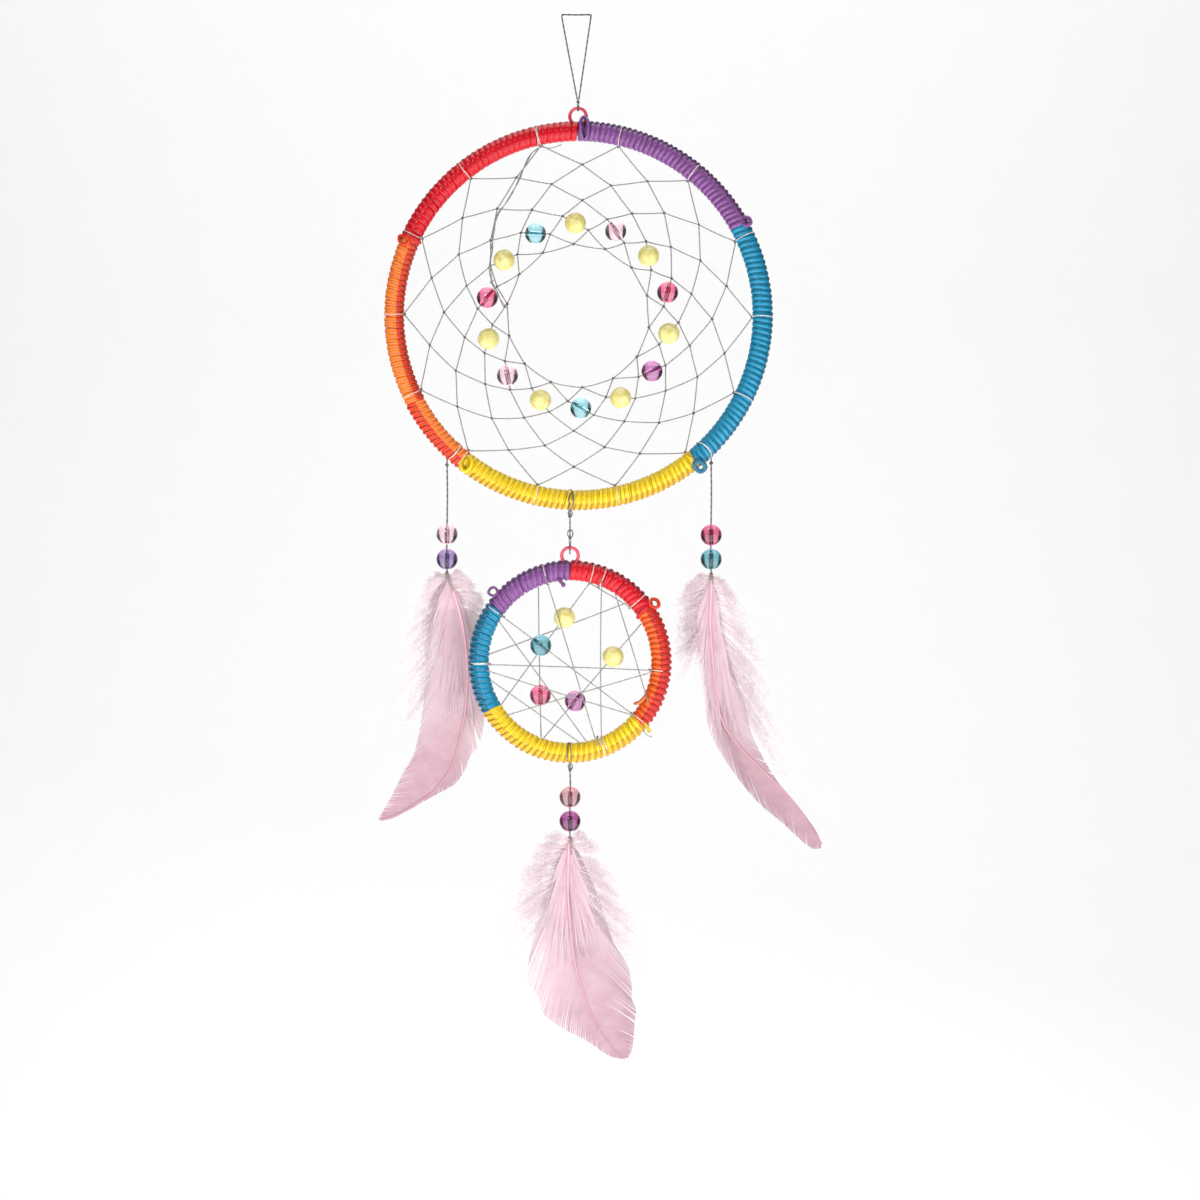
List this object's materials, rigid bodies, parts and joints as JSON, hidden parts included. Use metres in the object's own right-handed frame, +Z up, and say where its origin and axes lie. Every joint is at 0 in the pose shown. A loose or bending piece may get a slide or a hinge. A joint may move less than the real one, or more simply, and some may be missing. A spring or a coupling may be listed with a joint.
{
  "type": "dream catcher",
  "caption": "Hanging dream catcher: a netted, cord-wound hoop with beads, a smaller strung hoop below it, and beaded threads that end in feathers.",
  "frame": {"origin": "top of the hanging loop, where it lies over its peg", "axes": "+Z up, front faces -Y, +X to the right as seen from the front"},
  "size_m": [0.1722, 0.0176, 0.4026],
  "materials": {
    "pink_plastic": "moulded, glossy",
    "cord_red": "satin wound cord",
    "cord_purple": "satin wound cord",
    "cord_blue": "satin wound cord",
    "cord_yellow": "satin wound cord",
    "cord_orange": "satin wound cord",
    "thread": "waxed grey thread",
    "feather": "soft dyed feather",
    "bead_milky": "milky, glossy",
    "bead_pale_pink": "clear, polished",
    "bead_pink": "clear, polished",
    "bead_purple": "clear, polished",
    "bead_teal": "clear, polished"
  },
  "bodies": {
    "hanging_loop": {"hanging_loop": "thread"},
    "hanging_knot": {"hanging_knot": "thread"},
    "eye_hitch": {"eye_hitch": "thread"},
    "hoop": {"big_ring": "pink_plastic", "wrap_red": "cord_red", "wrap_purple": "cord_purple", "wrap_blue": "cord_blue", "wrap_yellow": "cord_yellow", "wrap_orange": "cord_orange", "net_thread": "thread", "net_tail": "thread", "hoop_ties": "thread"},
    "link_knot": {"link_knot": "thread"},
    "link_thread": {"link_thread": "thread"},
    "link_hitch": {"link_hitch": "thread"},
    "small_hoop": {"small_ring": "pink_plastic", "small_wrap_red": "cord_red", "small_wrap_orange": "cord_orange", "small_wrap_yellow": "cord_yellow", "small_wrap_blue": "cord_blue", "small_wrap_purple": "cord_purple", "small_thread": "thread", "small_tie": "thread"},
    "net_bead_1": {"net_bead_1": "bead_milky"},
    "net_bead_2": {"net_bead_2": "bead_pale_pink"},
    "net_bead_3": {"net_bead_3": "bead_milky"},
    "net_bead_4": {"net_bead_4": "bead_pink"},
    "net_bead_5": {"net_bead_5": "bead_milky"},
    "net_bead_6": {"net_bead_6": "bead_purple"},
    "net_bead_7": {"net_bead_7": "bead_milky"},
    "net_bead_8": {"net_bead_8": "bead_teal"},
    "net_bead_9": {"net_bead_9": "bead_milky"},
    "net_bead_10": {"net_bead_10": "bead_pale_pink"},
    "net_bead_11": {"net_bead_11": "bead_milky"},
    "net_bead_12": {"net_bead_12": "bead_pink"},
    "net_bead_13": {"net_bead_13": "bead_milky"},
    "net_bead_14": {"net_bead_14": "bead_teal"},
    "small_bead_1": {"small_bead_1": "bead_milky"},
    "small_bead_2": {"small_bead_2": "bead_teal"},
    "small_bead_3": {"small_bead_3": "bead_milky"},
    "small_bead_4": {"small_bead_4": "bead_pink"},
    "small_bead_5": {"small_bead_5": "bead_purple"},
    "left_knot": {"left_knot": "thread"},
    "left_thread": {"left_thread": "thread"},
    "left_bead_top": {"left_bead_top": "bead_pink"},
    "left_bead_low": {"left_bead_low": "bead_purple"},
    "left_feather": {"left_quill_knot": "thread", "left_feather": "feather"},
    "right_knot": {"right_knot": "thread"},
    "right_thread": {"right_thread": "thread"},
    "right_bead_top": {"right_bead_top": "bead_pink"},
    "right_bead_low": {"right_bead_low": "bead_teal"},
    "right_feather": {"right_quill_knot": "thread", "right_feather": "feather"},
    "centre_knot": {"centre_knot": "thread"},
    "centre_thread": {"centre_thread": "thread"},
    "centre_bead_top": {"centre_bead_top": "bead_pale_pink"},
    "centre_bead_low": {"centre_bead_low": "bead_purple"},
    "centre_feather": {"centre_quill_knot": "thread", "centre_feather": "feather"}
  },
  "joints": [
    {"name": "hoop_turn", "type": "hinge", "parent": "hanging_loop", "child": "hanging_knot", "pos_m": [0.0006, 0, -0.03395], "axis": [0, 0, 1], "range_deg": [-180, 180]},
    {"name": "hoop_sway", "type": "hinge", "parent": "hanging_knot", "child": "eye_hitch", "pos_m": [0.0006, 0, -0.03395], "axis": [0, 1, 0], "range_deg": [-25, 25]},
    {"name": "hoop_nod", "type": "hinge", "parent": "eye_hitch", "child": "hoop", "pos_m": [0.0006, 0, -0.03635], "axis": [1, 0, 0], "range_deg": [-30, 30]},
    {"name": "link_nod", "type": "hinge", "parent": "hoop", "child": "link_knot", "pos_m": [-0.0025, 0, -0.19374], "axis": [1, 0, 0], "range_deg": [-15, 1]},
    {"name": "link_sway", "type": "hinge", "parent": "link_knot", "child": "link_thread", "pos_m": [-0.0025, 0, -0.19374], "axis": [0, 1, 0], "range_deg": [-6, 6]},
    {"name": "small_hoop_turn", "type": "hinge", "parent": "link_thread", "child": "link_hitch", "pos_m": [-0.0025, 0, -0.20215], "axis": [0, 0, 1], "range_deg": [-2, 140]},
    {"name": "small_hoop_nod", "type": "hinge", "parent": "link_hitch", "child": "small_hoop", "pos_m": [-0.0025, 0, -0.20575], "axis": [1, 0, 0], "range_deg": [-15, 1]},
    {"name": "left_nod", "type": "hinge", "parent": "hoop", "child": "left_knot", "pos_m": [-0.0499, 0, -0.174], "axis": [1, 0, 0], "range_deg": [-1.5, 20]},
    {"name": "left_sway", "type": "hinge", "parent": "left_knot", "child": "left_thread", "pos_m": [-0.0499, 0, -0.174], "axis": [0, 1, 0], "range_deg": [-4, 20]},
    {"name": "left_feather_turn", "type": "hinge", "parent": "left_thread", "child": "left_feather", "pos_m": [-0.0499, 0, -0.21565], "axis": [0, 0, 1], "range_deg": [-5, 40]},
    {"name": "right_nod", "type": "hinge", "parent": "hoop", "child": "right_knot", "pos_m": [0.0519, 0, -0.17326], "axis": [1, 0, 0], "range_deg": [-20, 20]},
    {"name": "right_sway", "type": "hinge", "parent": "right_knot", "child": "right_thread", "pos_m": [0.0519, 0, -0.17326], "axis": [0, 1, 0], "range_deg": [-20, 5]},
    {"name": "right_feather_turn", "type": "hinge", "parent": "right_thread", "child": "right_feather", "pos_m": [0.0519, 0, -0.21595], "axis": [0, 0, 1], "range_deg": [-40, 40]},
    {"name": "centre_nod", "type": "hinge", "parent": "small_hoop", "child": "centre_knot", "pos_m": [-0.0025, 0, -0.2915], "axis": [1, 0, 0], "range_deg": [-20, 20]},
    {"name": "centre_sway", "type": "hinge", "parent": "centre_knot", "child": "centre_thread", "pos_m": [-0.0025, 0, -0.2915], "axis": [0, 1, 0], "range_deg": [-15, 15]},
    {"name": "centre_feather_turn", "type": "hinge", "parent": "centre_thread", "child": "centre_feather", "pos_m": [-0.0025, 0, -0.31775], "axis": [0, 0, 1], "range_deg": [-90, 90]},
    {"name": "net_bead_1_spin", "type": "hinge", "parent": "hoop", "child": "net_bead_1", "pos_m": [-0.00044, 0, -0.0807], "axis": [0.8801, 0, -0.4748], "continuous": true},
    {"name": "net_bead_2_spin", "type": "hinge", "parent": "hoop", "child": "net_bead_2", "pos_m": [0.01513, 0, -0.08378], "axis": [0.5869, 0, -0.8097], "continuous": true},
    {"name": "net_bead_3_spin", "type": "hinge", "parent": "hoop", "child": "net_bead_3", "pos_m": [0.02782, 0, -0.09331], "axis": [0.1775, 0, -0.9841], "continuous": true},
    {"name": "net_bead_4_spin", "type": "hinge", "parent": "hoop", "child": "net_bead_4", "pos_m": [0.03512, 0, -0.1074], "axis": [-0.2671, 0, -0.9637], "continuous": true},
    {"name": "net_bead_5_spin", "type": "hinge", "parent": "hoop", "child": "net_bead_5", "pos_m": [0.03559, 0, -0.12327], "axis": [-0.6588, 0, -0.7523], "continuous": true},
    {"name": "net_bead_6_spin", "type": "hinge", "parent": "hoop", "child": "net_bead_6", "pos_m": [0.02912, 0, -0.13776], "axis": [-0.92, 0, -0.392], "continuous": true},
    {"name": "net_bead_7_spin", "type": "hinge", "parent": "hoop", "child": "net_bead_7", "pos_m": [0.01701, 0, -0.14802], "axis": [-0.9989, 0, 0.046], "continuous": true},
    {"name": "net_bead_8_spin", "type": "hinge", "parent": "hoop", "child": "net_bead_8", "pos_m": [0.00164, 0, -0.152], "axis": [-0.8801, 0, 0.4748], "continuous": true},
    {"name": "net_bead_9_spin", "type": "hinge", "parent": "hoop", "child": "net_bead_9", "pos_m": [-0.01393, 0, -0.14892], "axis": [-0.5869, 0, 0.8097], "continuous": true},
    {"name": "net_bead_10_spin", "type": "hinge", "parent": "hoop", "child": "net_bead_10", "pos_m": [-0.02662, 0, -0.13939], "axis": [-0.1775, 0, 0.9841], "continuous": true},
    {"name": "net_bead_11_spin", "type": "hinge", "parent": "hoop", "child": "net_bead_11", "pos_m": [-0.03392, 0, -0.1253], "axis": [0.2671, 0, 0.9637], "continuous": true},
    {"name": "net_bead_12_spin", "type": "hinge", "parent": "hoop", "child": "net_bead_12", "pos_m": [-0.03439, 0, -0.10943], "axis": [0.6588, 0, 0.7523], "continuous": true},
    {"name": "net_bead_13_spin", "type": "hinge", "parent": "hoop", "child": "net_bead_13", "pos_m": [-0.02792, 0, -0.09494], "axis": [0.92, 0, 0.392], "continuous": true},
    {"name": "net_bead_14_spin", "type": "hinge", "parent": "hoop", "child": "net_bead_14", "pos_m": [-0.01581, 0, -0.08468], "axis": [0.9989, 0, -0.046], "continuous": true},
    {"name": "small_bead_1_spin", "type": "hinge", "parent": "small_hoop", "child": "small_bead_1", "pos_m": [-0.00465, -0.00001, -0.23284], "axis": [-0.5852, 0.0899, -0.8059], "continuous": true},
    {"name": "small_bead_2_spin", "type": "hinge", "parent": "small_hoop", "child": "small_bead_2", "pos_m": [-0.01371, -0.0035, -0.24346], "axis": [0.7986, 0, -0.6018], "continuous": true},
    {"name": "small_bead_3_spin", "type": "hinge", "parent": "small_hoop", "child": "small_bead_3", "pos_m": [0.01408, 0.0015, -0.24794], "axis": [-0.6494, 0, -0.7604], "continuous": true},
    {"name": "small_bead_4_spin", "type": "hinge", "parent": "small_hoop", "child": "small_bead_4", "pos_m": [-0.01396, 0.0015, -0.26275], "axis": [0.0175, 0, -0.9998], "continuous": true},
    {"name": "small_bead_5_spin", "type": "hinge", "parent": "small_hoop", "child": "small_bead_5", "pos_m": [-0.00049, 0.0015, -0.26499], "axis": [-0.6494, 0, -0.7604], "continuous": true},
    {"name": "left_bead_top_spin", "type": "hinge", "parent": "left_thread", "child": "left_bead_top", "pos_m": [-0.0499, 0, -0.20055], "axis": [0, 0, 1], "continuous": true},
    {"name": "left_bead_low_spin", "type": "hinge", "parent": "left_thread", "child": "left_bead_low", "pos_m": [-0.0499, 0, -0.21025], "axis": [0, 0, 1], "continuous": true},
    {"name": "right_bead_top_spin", "type": "hinge", "parent": "right_thread", "child": "right_bead_top", "pos_m": [0.0519, 0, -0.20095], "axis": [0, 0, 1], "continuous": true},
    {"name": "right_bead_low_spin", "type": "hinge", "parent": "right_thread", "child": "right_bead_low", "pos_m": [0.0519, 0, -0.21025], "axis": [0, 0, 1], "continuous": true},
    {"name": "centre_bead_top_spin", "type": "hinge", "parent": "centre_thread", "child": "centre_bead_top", "pos_m": [-0.0025, 0, -0.30195], "axis": [0, 0, 1], "continuous": true},
    {"name": "centre_bead_low_spin", "type": "hinge", "parent": "centre_thread", "child": "centre_bead_low", "pos_m": [-0.0025, 0, -0.31125], "axis": [0, 0, 1], "continuous": true}
  ]
}
